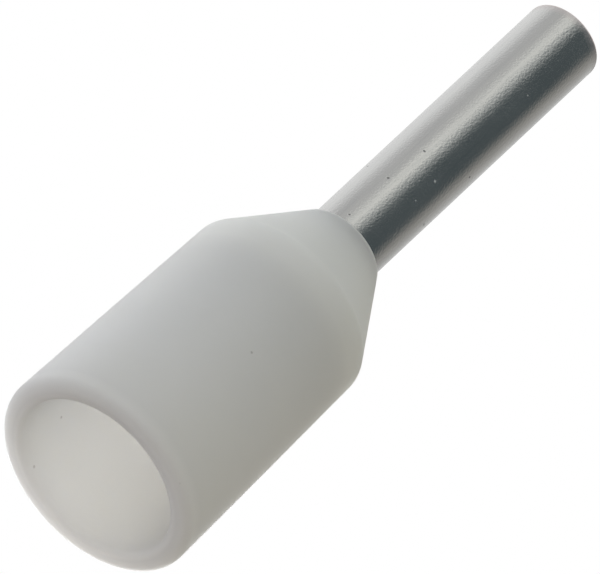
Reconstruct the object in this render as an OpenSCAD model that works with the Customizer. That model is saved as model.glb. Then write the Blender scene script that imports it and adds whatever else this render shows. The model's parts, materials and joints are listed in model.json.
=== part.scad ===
// Insulated wire ferrule: a tinned copper sleeve whose flared end sits in the
// funnel of a moulded plastic collar.
// The ferrule stands on the collar's rim. The origin is the centre of the rim, and
// +Z runs along the sleeve, towards the end that goes into a terminal.

/* [Sleeve] */
// Bore of the sleeve, where the bare strands go
sleeve_bore_d = 1.0; // [0.7:0.05:1.25]
// Wall of the sleeve
sleeve_wall = 0.15; // [0.12:0.01:0.25]
// Length of bare sleeve beyond the collar
sleeve_reach = 5.9; // [3:0.1:12]
// Outside diameter of the flared end inside the collar
flare_d = 2.2; // [1.9:0.05:2.45]
// Radius that the sleeve bends round where its flare begins
flare_bend = 0.3; // [0.1:0.05:0.6]
// Rounding of the edges at the sleeve's free end
sleeve_edge = 0.05; // [0.02:0.005:0.055]

/* [Collar] */
// Bore of the collar's mouth, where the wire's insulation goes
mouth_d = 2.7; // [2.5:0.05:3.4]
// Wall of the collar at its rim
rim_wall = 0.38; // [0.35:0.01:0.7]
// Length of the whole collar
collar_len = 6.1; // [5.8:0.1:9]
// Length of the cone between the shoulder and the sleeve
cone_len = 1.56; // [1.2:0.02:2]
// Draft angle of the collar's outside, from the rim to the shoulder
draft_angle = 1.4; // [0:0.1:2]
// Wall of the collar where the cone ends on the sleeve
neck_wall = 0.11; // [0.05:0.01:0.3]
// Depth of the mouth, from the rim to the funnel
mouth_depth = 4.0; // [3:0.1:4.2]
// Angle between the funnel's wall and the axis
funnel_angle = 30; // [24:1:45]
// Clearance between the sleeve and the collar that grips it
grip_gap = 0.01; // [0:0.005:0.03]

/* [Edges] */
// Rounding of the rim's outer edge
rim_round = 0.15; // [0.04:0.01:0.2]
// Rounding of the rim's inner edge
lip_round = 0.1; // [0.02:0.01:0.14]
// Rounding of the shoulder
shoulder_round = 0.12; // [0.02:0.01:0.4]
// Rounding of the cone's small end
neck_round = 0.03; // [0.01:0.005:0.04]

/* [Hidden] */
round_fn = 96;      // facets of a full turn
arc_steps = 6;      // straight pieces in each rounded edge

sleeve_r = sleeve_bore_d / 2 + sleeve_wall;
grip_r = sleeve_r + grip_gap;
flare_r = flare_d / 2;
mouth_r = mouth_d / 2;
rim_r = mouth_r + rim_wall;
shoulder_z = collar_len - cone_len;
shoulder_r = rim_r - shoulder_z * tan(draft_angle);
neck_r = grip_r + neck_wall;
total_len = collar_len + sleeve_reach;

// Where the funnel's wall meets the neck's bore, before that corner is rounded
throat_z = mouth_depth + (mouth_r - grip_r) / tan(funnel_angle);

// Radius at which the collar's throat is rounded, so that the sleeve's own bend follows it
throat_round = flare_bend - grip_gap;

function unit(v) = v / norm(v);

// The arc of the given radius that rounds corner b between its neighbours a and c
function corner_arc(a, b, c, radius) =
    let (u = unit(a - b), v = unit(c - b), half = acos(u * v) / 2)
    let (reach = radius / tan(half), centre = b + unit(u + v) * radius / sin(half))
    let (from = b + u * reach - centre, to = b + v * reach - centre, turn = 180 - 2 * half)
    [for (i = [0 : arc_steps])
        let (f = i / arc_steps)
        centre + (from * sin((1 - f) * turn) + to * sin(f * turn)) / sin(turn)];

function flat(corner) = [corner[0], corner[1]];

// An outline of [radius, height, rounding] corners, with each rounded corner as an arc
function rounded(corners) =
    let (n = len(corners))
    [for (i = [0 : n - 1])
        let (b = corners[i], a = corners[(i + n - 1) % n], c = corners[(i + 1) % n])
        each b[2] > 0 ? corner_arc(flat(a), flat(b), flat(c), b[2]) : [flat(b)]];

// A solid turned from such an outline
module turned(corners) {
    rotate_extrude($fn = round_fn)
        polygon(rounded(corners));
}

// The drawn tube, straight to its free end and flared inside the collar
module contact_sleeve() {
    slant = [sin(funnel_angle), -cos(funnel_angle)];
    inward = [-cos(funnel_angle), -sin(funnel_angle)];
    // the outside's bend begins where the collar's throat does, one gap away from it
    outer_z = throat_z - grip_gap * tan(funnel_angle / 2);
    inner_z = outer_z - sleeve_wall * tan(funnel_angle / 2);
    bore_r = sleeve_r - sleeve_wall;
    outer_end = [sleeve_r, outer_z] + slant * (flare_r - sleeve_r) / slant[0];
    inner_end = outer_end + inward * sleeve_wall;
    color("silver")
        turned([
            [bore_r, total_len, sleeve_edge],
            [bore_r, inner_z, flare_bend + sleeve_wall],
            [inner_end[0], inner_end[1], 0],
            [outer_end[0], outer_end[1], 0],
            [sleeve_r, outer_z, flare_bend],
            [sleeve_r, total_len, sleeve_edge],
        ]);
}

// The moulded collar: rim, mouth, funnel and neck inside, drafted wall and cone outside
module insulating_collar() {
    color([0.88, 0.89, 0.87])
        turned([
            [mouth_r, 0, lip_round],
            [mouth_r, mouth_depth, 0],
            [grip_r, throat_z, throat_round],
            [grip_r, collar_len, 0],
            [neck_r, collar_len, neck_round],
            [shoulder_r, shoulder_z, shoulder_round],
            [rim_r, 0, rim_round],
        ]);
}

contact_sleeve();
insulating_collar();
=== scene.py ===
"""Wire ferrule: the finish of its tinned sleeve and moulded collar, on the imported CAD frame."""

import json
import math

import bpy
from mathutils import Matrix, Vector, noise


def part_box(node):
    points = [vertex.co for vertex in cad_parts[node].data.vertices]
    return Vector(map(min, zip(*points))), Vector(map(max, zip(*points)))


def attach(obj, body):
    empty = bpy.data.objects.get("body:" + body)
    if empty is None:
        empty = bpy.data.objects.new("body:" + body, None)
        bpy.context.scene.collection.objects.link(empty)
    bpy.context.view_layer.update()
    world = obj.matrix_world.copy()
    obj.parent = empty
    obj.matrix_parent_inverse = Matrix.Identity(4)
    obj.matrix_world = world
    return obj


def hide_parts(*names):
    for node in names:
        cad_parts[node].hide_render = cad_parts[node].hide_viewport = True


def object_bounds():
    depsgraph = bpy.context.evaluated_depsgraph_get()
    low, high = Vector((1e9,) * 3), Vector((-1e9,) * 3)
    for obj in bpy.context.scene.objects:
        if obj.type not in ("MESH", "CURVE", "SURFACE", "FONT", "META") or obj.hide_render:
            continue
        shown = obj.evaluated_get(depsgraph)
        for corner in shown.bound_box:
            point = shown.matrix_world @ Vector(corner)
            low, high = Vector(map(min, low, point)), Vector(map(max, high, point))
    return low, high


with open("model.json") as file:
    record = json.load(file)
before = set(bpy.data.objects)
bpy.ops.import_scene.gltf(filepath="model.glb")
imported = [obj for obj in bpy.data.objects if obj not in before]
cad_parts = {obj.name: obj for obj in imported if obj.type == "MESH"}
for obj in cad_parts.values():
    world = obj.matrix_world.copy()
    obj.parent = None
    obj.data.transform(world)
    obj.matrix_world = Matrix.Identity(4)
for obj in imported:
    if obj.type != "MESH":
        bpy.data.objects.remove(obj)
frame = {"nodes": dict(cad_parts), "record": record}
cad_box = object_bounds()

MM = 0.001                      # one millimetre, in metres

# The collar's mouth, and where the colour of its inside, lightened as painted light, gives way to
# that
# of its outside: within the wall, between the two radii of WALL_MIDDLE. Above WALL_BENDS, between
# the funnel's beginning and the shoulder, these close in by WALL_SLOPE for each length along the
# axis
MOUTH = frame["record"]["mounts"][0]
MOUTH_R = MOUTH["dims"]["r_mm"] * MM
WALL_MIDDLE = (MOUTH_R + 0.08 * MM, MOUTH_R + 0.14 * MM)
WALL_BENDS = MOUTH["pos_m"][2] + (MOUTH["dims"]["length_mm"] + 0.3) * MM
WALL_SLOPE = 0.56

# How finely the pieces are turned
TURNS = 288                     # facets in a full turn
STEP = 0.09 * MM                # longest facet along an outline
CREASE = math.radians(25)       # corners sharper than this stay sharp

# How the surfaces wander inwards from their true form: how far, how often round the axis, the
# length of a wave along it, and where in the noise it begins
SLEEVE_WANDER = (0.004 * MM, 1.1, 1.6 * MM, 3.0)
COLLAR_WANDER = (0.008 * MM, 0.9, 3.0 * MM, 11.0)

# Where the camera stands: the ferrule's axis as it is seen
AXIS_FROM_VIEW = math.radians(53.2)     # angle between the axis and the line of sight
AXIS_SLOPE = math.radians(43.06)        # slope of the axis in the picture
LENS = 1000.0                           # millimetres
SENSOR = 36.0                           # millimetres
PICTURE_WIDTH = 8.965 * MM              # what the picture's width spans at the aim point
AIM_HEIGHT = 6.0 * MM                   # the point of the axis that the camera is set from
AIM_ACROSS = -0.478 * MM                # the camera's place across the picture from there
AIM_UP = -0.468 * MM                    # and up the picture

# The soft lamps: the direction that each stands in, and its level, where 1 lights a surface so
# that its colour renders as it is written
KEY = ((-0.75, 0.35, 0.55), 0.13)
BACK = ((0.1, 0.9, 0.25), 0.8)
LAMP_DISTANCE, LAMP_SIZE = 0.12, 0.08   # metres

# The plain light leans a little: its level in red, green and blue, and how much it gains
# towards each axis
LEAN = [(0.460, (-0.165, -0.093, 0.106)),
        (0.456, (-0.185, -0.106, 0.129)),
        (0.435, (-0.224, -0.099, 0.112))]

# The floor's colour, how much whiter than its own light the camera sees it, between which
# distances from the middle it turns white, half its width, and how far below the rim it lies
FLOOR_COLOUR = (0.72, 0.72, 0.72)
FLOOR_LIFT = 0.25
FLOOR_FADE = (12 * MM, 60 * MM)
FLOOR_HALF = 1.5                # metres
FLOOR_GAP = 0.002 * MM

# The light tent, which only reflections see: its radius, its lowest and highest edges, its
# facets, and its colours by angle, where -180 is behind the ferrule, -90 left, 0 in front of it
# and 90 right
TENT_RADIUS, TENT_LOW, TENT_HIGH, TENT_FACETS = 80 * MM, -70 * MM, 140 * MM, 96
TENT_CARDS = [(-180, (0.90, 0.90, 0.90)), (-112, (1.00, 1.00, 1.00)), (-75, (0.60, 0.60, 0.60)),
              (-45, (0.66, 0.66, 0.65)), (-34, (0.98, 0.98, 0.94)), (-20, (0.98, 0.98, 0.94)),
              (-9, (0.54, 0.56, 0.55)), (12, (0.084, 0.104, 0.112)), (76, (0.084, 0.104, 0.112)),
              (96, (0.34, 0.33, 0.31)), (118, (0.48, 0.47, 0.45)), (145, (0.63, 0.63, 0.62)),
              (180, (0.90, 0.90, 0.90))]

# The collar's colour outside, from its rim (0) to its small end (1), with painted shade darkening
# it at the rim and on the cone and painted light lightening it along the wall, and inside
COLLAR_TONES_AND_SHADE = [(0.00, (0.78, 0.78, 0.77)), (0.05, (0.71, 0.71, 0.71)),
                (0.20, (0.79, 0.79, 0.785)), (0.42, (0.88, 0.88, 0.86)),
                (0.68, (0.89, 0.89, 0.85)), (0.76, (0.78, 0.78, 0.775)), (0.90, (0.75, 0.75, 0.75))]
# Inside, the colour is lightened as painted light for the glow through the wall
INSIDE_PAINTED_LIGHT = (0.87, 0.87, 0.85)

# The tints over the collar's colour, its specks, and how deep light goes into it
TINT_TONES = [(0.35, (0.97, 0.98, 1.0)), (0.65, (1.0, 1.0, 0.96))]
SPECK_TONE = (0.20, 0.17, 0.14)
COLLAR_DEPTH = 1.7 * MM

# The sleeve's tin along its lines, its pits, where it is rubbed bright, where it is dull and
# thin and darkened as a painted dark reflection, and the copper under it
TIN_TONES = [(0.3, (0.53, 0.535, 0.53)), (0.7, (0.575, 0.575, 0.565))]
PIT_TONE = (0.10, 0.10, 0.10)
RUB_TONE = (0.95, 0.95, 0.93)
DULL_SHADE_TONE = (0.58, 0.50, 0.50)
COPPER_TONE = (0.60, 0.36, 0.27)

# Where the tin turns dull and darkens as a painted dark reflection of the cut end's rounding, and
# where it bares the copper, by height from the sleeve's cut end, and how ragged both borders are
DULL_SHADE_RISE = (-0.16 * MM, 0.02 * MM)
BARE_RISE = (-0.01 * MM, 0.03 * MM)
RAGGED = 0.06 * MM

# How fine each noise is, per metre, and the depth and strength of the bumps that it makes
COLLAR_TINT = 420.0
COLLAR_GRAIN, GRAIN_BUMP = 26000.0, (0.0012 * MM, 0.5)
COLLAR_SWELL, SWELL_BUMP = 1500.0, (0.01 * MM, 0.4)
SLEEVE_LINES, LINES_BUMP = 24000.0, (0.0005 * MM, 0.6)
SLEEVE_CLOUD, CLOUD_BUMP = 2500.0, (0.004 * MM, 0.4)
SLEEVE_MOTTLE, MOTTLE_BUMP = 30000.0, (0.0055 * MM, 0.9)
PIT_BUMP = (0.008 * MM, 0.8)

# Specks on the collar: angle about the axis in degrees, then radius, height and size in mm
COLLAR_SPECKS = [(137.2, 1.35, 0.98, 0.024), (122.7, 1.35, 0.16, 0.026),
                 (-57.0, 1.70, 0.03, 0.026), (-81.9, 1.67, 2.46, 0.022)]

# Pits in the sleeve's tin, and places where it is rubbed bright, written the same way
SLEEVE_PITS = [(-107.8, 0.65, 8.14, 0.020), (-115.3, 0.65, 7.32, 0.024), (-22.8, 0.65, 7.47, 0.022),
               (-161.6, 0.65, 7.48, 0.016), (-114.8, 0.65, 6.32, 0.018), (-31.9, 0.65, 8.64, 0.018)]
SLEEVE_RUBS = [(-68.3, 0.65, 7.91, 0.022), (-67.2, 0.65, 7.40, 0.014), (-67.3, 0.65, 10.31, 0.014)]


# ---- outlines and turned meshes ------------------------------------------------------

def outline_of(node):
    """The closed outline of a turned CAD node, as (radius, height) points in order."""
    mesh = frame["nodes"][node].data
    grain = 0.002 * MM
    place, ring_of = {}, []
    for v in mesh.vertices:
        r, z = math.hypot(v.co.x, v.co.y), v.co.z
        ring = (round(r / grain), round(z / grain))
        ring_of.append(ring)
        place.setdefault(ring, (r, z))
    joined = {ring: set() for ring in place}
    for edge in mesh.edges:
        a, b = (ring_of[i] for i in edge.vertices)
        if a != b:
            joined[a].add(b)
            joined[b].add(a)
    path = [min(place)]
    while True:
        onward = [ring for ring in joined[path[-1]] if ring not in path]
        if not onward:
            return [place[ring] for ring in path]
        path.append(min(onward))


def with_steps(outline, step):
    """The same closed outline, with no side longer than step."""
    fine = []
    for (r0, z0), (r1, z1) in zip(outline, outline[1:] + outline[:1]):
        parts = max(1, math.ceil(math.hypot(r1 - r0, z1 - z0) / step))
        for i in range(parts):
            f = i / parts
            fine.append((r0 + (r1 - r0) * f, z0 + (z1 - z0) * f))
    return fine


def inwards(angle, height, depth, round_scale, length_scale, start):
    """Smooth noise from 0 to depth, round and along the axis."""
    at = Vector((math.cos(angle) * round_scale, math.sin(angle) * round_scale,
                 height / length_scale + start))
    return depth * (0.5 + 0.5 * max(-1.0, min(1.0, noise.noise(at))))


def new_object(name, points, faces):
    """A mesh object of these points and faces, in the scene."""
    mesh = bpy.data.meshes.new(name)
    mesh.from_pydata(points, [], faces)
    thing = bpy.data.objects.new(name, mesh)
    bpy.context.scene.collection.objects.link(thing)
    return thing


def turned(name, outline, wander):
    """A closed outline turned about Z, whose surface wanders inwards a little."""
    points, faces = [], []
    rings = len(outline)
    for i in range(TURNS):
        angle = 2 * math.pi * i / TURNS
        for r, z in outline:
            r -= inwards(angle, z, *wander)
            points.append((r * math.cos(angle), r * math.sin(angle), z))
    for i in range(TURNS):
        here, there = i * rings, (i + 1) % TURNS * rings
        for j in range(rings):
            k = (j + 1) % rings
            faces.append((here + j, there + j, there + k, here + k))
    piece = new_object(name, points, faces)
    piece.data.validate()
    piece.data.shade_smooth()
    piece.data.set_sharp_from_angle(angle=CREASE)
    return piece


# ---- materials -----------------------------------------------------------------------

class Nodes:
    """A short way to add nodes and links to a material or world."""

    def __init__(self, owner):
        owner.use_nodes = True
        self.tree = owner.node_tree
        self.tree.nodes.clear()

    def add(self, kind, **settings):
        node = self.tree.nodes.new("ShaderNode" + kind)
        for name, value in settings.items():
            setattr(node, name, value)
        return node

    def link(self, source, target):
        self.tree.links.new(source, target)

    def maths(self, operation, *numbers):
        node = self.add("Math", operation=operation)
        for socket, given in zip(node.inputs, numbers):
            if isinstance(given, (int, float)):
                socket.default_value = given
            else:
                self.link(given, socket)
        return node.outputs[0]

    def ramp(self, factor, stops):
        node = self.add("ValToRGB")
        ends = node.color_ramp.elements
        while len(ends) < len(stops):
            ends.new(0.5)
        for end, (position, colour) in zip(ends, stops):
            end.position = position
            end.color = (*colour, 1.0)
        self.link(factor, node.inputs[0])
        return node.outputs[0]

    def mix(self, factor, a, b, blend="MIX"):
        node = self.add("Mix", data_type="RGBA", blend_type=blend)
        for socket, given in ((node.inputs[0], factor), (node.inputs[6], a), (node.inputs[7], b)):
            if isinstance(given, (int, float)):
                socket.default_value = given
            elif isinstance(given, tuple):
                socket.default_value = (*given, 1.0)
            else:
                self.link(given, socket)
        return node.outputs[2]

    def noise(self, place, scale, detail=2.0, roughness=0.5):
        node = self.add("TexNoise")
        node.inputs["Scale"].default_value = scale
        node.inputs["Detail"].default_value = detail
        node.inputs["Roughness"].default_value = roughness
        self.link(place, node.inputs["Vector"])
        return node.outputs[0]

    def span(self, number, low, high, shape="LINEAR", ends=(0.0, 1.0)):
        """The first of the ends below low, the second above high, and between them a rise."""
        node = self.add("MapRange", interpolation_type=shape)
        self.link(number, node.inputs["Value"])
        for name, value in zip(("From Min", "From Max", "To Min", "To Max"), (low, high, *ends)):
            node.inputs[name].default_value = value
        return node.outputs[0]

    def length(self, place):
        node = self.add("VectorMath", operation="LENGTH")
        self.link(place, node.inputs[0])
        return node.outputs["Value"]

    def height(self, place):
        node = self.add("SeparateXYZ")
        self.link(place, node.inputs[0])
        return node.outputs["Z"]

    def stretched(self, place, scales):
        node = self.add("Mapping")
        node.inputs["Scale"].default_value = scales
        self.link(place, node.inputs["Vector"])
        return node.outputs[0]

    def spots(self, place, marks):
        """1 inside the given marks, falling softly to 0 at their edges."""
        found = 0.0
        for degrees, radius, height, size in marks:
            angle = math.radians(degrees)
            spot = Vector((radius * math.cos(angle), radius * math.sin(angle), height)) * MM
            away = self.add("VectorMath", operation="DISTANCE")
            self.link(place, away.inputs[0])
            away.inputs[1].default_value = spot
            inside = self.span(away.outputs["Value"], 0.4 * size * MM, 1.4 * size * MM,
                               "SMOOTHSTEP", (1.0, 0.0))
            found = self.maths("MAXIMUM", inside, found)
        return found

    def bump(self, height, distance, strength, normal=None):
        node = self.add("Bump")
        node.inputs["Distance"].default_value = distance
        node.inputs["Strength"].default_value = strength
        self.link(height, node.inputs["Height"])
        if normal is not None:
            self.link(normal, node.inputs["Normal"])
        return node.outputs[0]

    def surface(self, shader):
        self.link(shader.outputs[0], self.add("OutputMaterial").inputs[0])


def collar_plastic():
    """Matte, translucent white moulding, with faint tints, a fine grain and a few specks, and
    painted shade and painted light in its tones.
    """
    material = bpy.data.materials.new("collar_finish")
    n = Nodes(material)
    place = n.add("TexCoord").outputs["Object"]
    # outside, painted shade darkens the moulding at the rim and on the cone, and painted light
    # lightens it along the wall
    rim, top = (corner.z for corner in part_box("insulating_collar"))
    height = n.height(place)
    outside_with_shade = n.ramp(n.span(height, rim, top), COLLAR_TONES_AND_SHADE)
    # inside the mouth and the funnel it has one tone, lightened as painted light for the glow
    # through the wall
    out_from_axis = n.length(n.stretched(place, (1.0, 1.0, 0.0)))
    past_bend = n.maths("MAXIMUM", n.maths("SUBTRACT", height, WALL_BENDS), 0.0)
    reach = n.maths("MULTIPLY_ADD", past_bend, WALL_SLOPE, out_from_axis)
    tone = n.mix(n.span(reach, *WALL_MIDDLE), INSIDE_PAINTED_LIGHT, outside_with_shade)
    tint = n.ramp(n.noise(place, COLLAR_TINT, 1.0), TINT_TONES)
    base = n.mix(0.6, tone, tint, "MULTIPLY")
    specks = n.maths("MULTIPLY", n.spots(place, COLLAR_SPECKS), 0.38)
    colour = n.mix(specks, base, SPECK_TONE)
    grain = n.noise(place, COLLAR_GRAIN, 2.0)
    swell = n.noise(place, COLLAR_SWELL, 1.0)
    normal = n.bump(grain, *GRAIN_BUMP, n.bump(swell, *SWELL_BUMP))
    shader = n.add("BsdfPrincipled")
    n.link(colour, shader.inputs["Base Color"])
    n.link(n.maths("MULTIPLY_ADD", grain, 0.12, 0.5), shader.inputs["Roughness"])
    n.link(normal, shader.inputs["Normal"])
    shader.inputs["Subsurface Weight"].default_value = 1.0
    shader.inputs["Subsurface Radius"].default_value = (1.0, 0.98, 0.92)
    shader.inputs["Subsurface Scale"].default_value = COLLAR_DEPTH
    shader.inputs["IOR"].default_value = 1.5
    n.surface(shader)
    return material


def tinned_sleeve():
    """Satin tin over copper: drawing lines along the tube, pits, a painted dark reflection near the
    cut, and a bare cut edge.
    """
    material = bpy.data.materials.new("sleeve_finish")
    n = Nodes(material)
    place = n.add("TexCoord").outputs["Object"]
    lines = n.noise(n.stretched(place, (1.0, 1.0, 0.03)), SLEEVE_LINES, 3.0, 0.6)
    cloud = n.noise(n.stretched(place, (1.0, 1.0, 0.4)), SLEEVE_CLOUD, 2.0)
    mottle = n.noise(place, SLEEVE_MOTTLE, 2.0)
    tin = n.ramp(lines, TIN_TONES)
    pits = n.spots(place, SLEEVE_PITS)
    rubs = n.spots(place, SLEEVE_RUBS)
    tin = n.mix(n.maths("MULTIPLY", pits, 0.8), tin, PIT_TONE)
    tin = n.mix(rubs, tin, RUB_TONE)
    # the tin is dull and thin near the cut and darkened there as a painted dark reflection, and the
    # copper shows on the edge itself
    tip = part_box("contact_sleeve")[1].z
    ragged = n.maths("MULTIPLY_ADD", cloud, RAGGED, n.height(place))
    dull_and_shade = n.span(ragged, *(tip + rise for rise in DULL_SHADE_RISE))
    bare = n.span(ragged, *(tip + rise for rise in BARE_RISE))
    tin = n.mix(n.maths("MULTIPLY", dull_and_shade, 0.5), tin, DULL_SHADE_TONE)
    base = n.mix(n.maths("MULTIPLY", bare, 0.75), tin, COPPER_TONE)
    shader = n.add("BsdfPrincipled")
    shader.inputs["Metallic"].default_value = 1.0
    n.link(base, shader.inputs["Base Color"])
    rough = n.maths("MULTIPLY_ADD", cloud, 0.14, 0.15)
    rough = n.maths("MULTIPLY_ADD", dull_and_shade, 0.28, rough)
    n.link(n.maths("MULTIPLY_ADD", rubs, 0.4, rough), shader.inputs["Roughness"])
    normal = n.bump(lines, *LINES_BUMP, n.bump(cloud, *CLOUD_BUMP))
    normal = n.bump(mottle, *MOTTLE_BUMP, normal)
    normal = n.bump(n.maths("SUBTRACT", 1.0, pits), *PIT_BUMP, normal)
    n.link(normal, shader.inputs["Normal"])
    n.surface(shader)
    return material


# ---- studio --------------------------------------------------------------------------

def white_world():
    """White to the camera and in reflections, and a plain, slightly leaning light otherwise."""
    world = bpy.data.worlds.new("studio")
    bpy.context.scene.world = world
    n = Nodes(world)
    path = n.add("LightPath").outputs
    seen = n.maths("MAXIMUM", path["Is Camera Ray"],
                   n.maths("MAXIMUM", path["Is Glossy Ray"], path["Is Transmission Ray"]))
    towards = n.add("TexCoord").outputs["Generated"]
    leaning = n.add("CombineColor")
    for channel, (level, lean) in zip(leaning.inputs, LEAN):
        gain = n.add("VectorMath", operation="DOT_PRODUCT")
        n.link(towards, gain.inputs[0])
        gain.inputs[1].default_value = lean
        n.link(n.maths("ADD", gain.outputs["Value"], level), channel)
    light, white = n.add("Background"), n.add("Background")
    n.link(leaning.outputs[0], light.inputs[0])
    white.inputs[0].default_value = (1.0, 1.0, 1.0, 1.0)
    white.inputs[1].default_value = 1.0
    choice = n.add("MixShader")
    n.link(seen, choice.inputs[0])
    n.link(light.outputs[0], choice.inputs[1])
    n.link(white.outputs[0], choice.inputs[2])
    n.link(choice.outputs[0], n.add("OutputWorld").inputs[0])


def soft_lamp(name, direction, level):
    """A square lamp that lights the ferrule's middle to the given level from a direction."""
    middle = (cad_box[0] + cad_box[1]) / 2
    away = Vector(direction).normalized()
    data = bpy.data.lights.new(name, "AREA")
    data.size = LAMP_SIZE
    data.energy = level * (math.pi * LAMP_DISTANCE) ** 2
    lamp = bpy.data.objects.new(name, data)
    lamp.location = middle + away * LAMP_DISTANCE
    lamp.rotation_mode = "QUATERNION"
    lamp.rotation_quaternion = away.to_track_quat("Z", "Y")
    bpy.context.scene.collection.objects.link(lamp)


def unseen_by(thing, *rays):
    for ray in rays:
        setattr(thing, "visible_" + ray, False)


def pale_floor():
    """A pale floor with the ferrule's shadow, seen only from above, that turns white far away.

    It lets light through, so that the rim isn't dark below."""
    z = cad_box[0].z - FLOOR_GAP
    corners = [(-FLOOR_HALF, -FLOOR_HALF, z), (FLOOR_HALF, -FLOOR_HALF, z),
               (FLOOR_HALF, FLOOR_HALF, z), (-FLOOR_HALF, FLOOR_HALF, z)]
    floor = new_object("floor", corners, [(0, 1, 2, 3)])
    material = bpy.data.materials.new("floor")
    n = Nodes(material)
    pale = n.add("BsdfDiffuse")
    pale.inputs[0].default_value = (*FLOOR_COLOUR, 1.0)
    lift = n.add("Emission")
    lift.inputs[1].default_value = FLOOR_LIFT
    near = n.add("AddShader")
    n.link(pale.outputs[0], near.inputs[0])
    n.link(lift.outputs[0], near.inputs[1])
    out_from_middle = n.length(n.add("TexCoord").outputs["Object"])
    fade = n.span(out_from_middle, *FLOOR_FADE, "SMOOTHSTEP")
    white = n.add("Emission")
    seen = n.add("MixShader")
    n.link(fade, seen.inputs[0])
    n.link(near.outputs[0], seen.inputs[1])
    n.link(white.outputs[0], seen.inputs[2])
    side = n.add("MixShader")
    n.link(n.add("NewGeometry").outputs["Backfacing"], side.inputs[0])
    n.link(seen.outputs[0], side.inputs[1])
    n.link(n.add("BsdfTransparent").outputs[0], side.inputs[2])
    n.surface(side)
    floor.data.materials.append(material)
    unseen_by(floor, "diffuse", "glossy", "transmission", "shadow")


def light_tent():
    """A ring of cards that only reflections see: white, grey and one black card."""
    points, faces = [], []
    for i in range(TENT_FACETS):
        angle = 2 * math.pi * i / TENT_FACETS
        x, y = TENT_RADIUS * math.cos(angle), TENT_RADIUS * math.sin(angle)
        points += [(x, y, TENT_LOW), (x, y, TENT_HIGH)]
        k = (i + 1) % TENT_FACETS
        faces.append((2 * i, 2 * k, 2 * k + 1, 2 * i + 1))
    tent = new_object("light_tent", points, faces)
    material = bpy.data.materials.new("light_tent")
    n = Nodes(material)
    place = n.add("TexCoord").outputs["Object"]
    # turned so that the ramp starts behind the ferrule and runs left, front, right
    turn = n.add("Mapping")
    turn.inputs["Rotation"].default_value = (0.0, 0.0, math.radians(90))
    n.link(place, turn.inputs["Vector"])
    sweep = n.add("TexGradient", gradient_type="RADIAL")
    n.link(turn.outputs[0], sweep.inputs[0])
    colour = n.ramp(sweep.outputs["Fac"], [(0.5 + a / 360, c) for a, c in TENT_CARDS])
    glow = n.add("Emission")
    n.link(colour, glow.inputs[0])
    n.surface(glow)
    tent.data.materials.append(material)
    unseen_by(tent, "camera", "diffuse", "transmission", "shadow")


def photo_camera():
    """A long lens that looks up into the mouth, with the sleeve rising to the right."""
    sight = Vector((0.0, math.sin(AXIS_FROM_VIEW), math.cos(AXIS_FROM_VIEW)))
    axis_seen = Vector((0.0, -math.cos(AXIS_FROM_VIEW), math.sin(AXIS_FROM_VIEW)))
    across = Vector((1.0, 0.0, 0.0))
    rise, run = math.sin(AXIS_SLOPE), math.cos(AXIS_SLOPE)
    right = across * rise + axis_seen * run
    up = axis_seen * rise - across * run
    distance = PICTURE_WIDTH * LENS / SENSOR
    data = bpy.data.cameras.new("camera")
    data.lens = LENS
    data.sensor_width = SENSOR
    data.clip_start = 0.01
    data.clip_end = 10.0
    camera = bpy.data.objects.new("camera", data)
    turn = Matrix((right, up, -sight)).transposed()
    aim = Vector((0.0, 0.0, AIM_HEIGHT)) + right * AIM_ACROSS + up * AIM_UP
    camera.matrix_world = Matrix.Translation(aim - sight * distance) @ turn.to_4x4()
    bpy.context.scene.collection.objects.link(camera)
    bpy.context.scene.camera = camera


# ---- the ferrule ---------------------------------------------------------------------

def dressed(name, node, wander, material):
    """A finely turned piece on the outline of a CAD node, which it replaces."""
    piece = turned(name, with_steps(outline_of(node), STEP), wander)
    piece.data.materials.append(material)
    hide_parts(node)
    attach(piece, "root")


photo_camera()
white_world()
pale_floor()
light_tent()
soft_lamp("key", *KEY)
soft_lamp("back", *BACK)

dressed("sleeve", "contact_sleeve", SLEEVE_WANDER, tinned_sleeve())
dressed("collar", "insulating_collar", COLLAR_WANDER, collar_plastic())

scene = bpy.context.scene
scene.view_settings.view_transform = "Standard"
